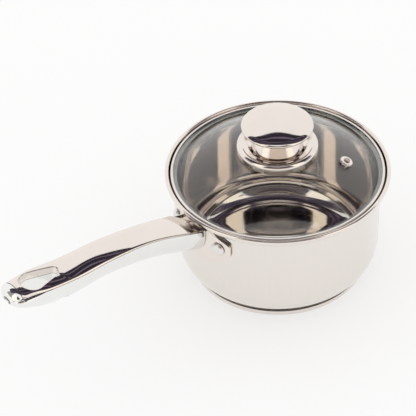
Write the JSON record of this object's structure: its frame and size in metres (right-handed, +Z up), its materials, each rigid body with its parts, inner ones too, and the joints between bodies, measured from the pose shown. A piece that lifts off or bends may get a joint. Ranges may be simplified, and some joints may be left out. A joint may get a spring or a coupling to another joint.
{
  "type": "saucepan with lid",
  "caption": "Polished steel saucepan with a capsule base, a riveted hollow handle, and a domed glass lid with a steel rim, a steam vent and a disc knob; the lid lifts off.",
  "frame": {"origin": "centre of the base's flat underside, on the pan's own axis", "axes": "+Z up along the pan's axis; the handle points along -X; +Y completes the right-handed frame"},
  "size_m": [0.3413, 0.177, 0.1431],
  "materials": {
    "pan_steel": "mirror polished stainless steel, fine upright polishing marks inside",
    "base_steel": "polished stainless steel, lightly scuffed underneath",
    "handle_steel": "mirror polished stainless steel",
    "bracket_steel": "polished stainless steel",
    "rivet_steel": "satin stainless steel",
    "band_steel": "polished stainless steel",
    "vent_steel": "satin stainless steel",
    "knob_steel": "mirror polished stainless steel",
    "dish_steel": "mirror polished stainless steel",
    "insert_metal": "plain turned aluminium",
    "screw_steel": "plain stainless steel",
    "aluminium_core": "plain rolled aluminium",
    "clear_glass": "clear tempered glass",
    "silicone": "translucent grey silicone, matt"
  },
  "bodies": {
    "pan": {"pan_body": "pan_steel", "base_cap": "base_steel", "heat_spreader_disc": "aluminium_core", "handle_upper_shell": "handle_steel", "handle_lower_shell": "handle_steel", "handle_bracket": "bracket_steel", "rivet_left": "rivet_steel", "rivet_right": "rivet_steel"},
    "lid": {"lid_glass": "clear_glass", "lid_rim_band": "band_steel", "lid_rim_seal": "silicone", "vent_eyelet": "vent_steel", "vent_gasket": "silicone", "knob_cap": "knob_steel", "knob_neck": "knob_steel", "knob_dish": "dish_steel", "knob_insert": "insert_metal", "knob_screw": "screw_steel", "screw_washer": "screw_steel", "knob_upper_seal": "silicone", "knob_lower_seal": "silicone"}
  },
  "joints": [
    {"name": "lid_lift", "type": "slide", "parent": "pan", "child": "lid", "axis": [0, 0, 1], "range_m": [0, 0.15]}
  ]
}
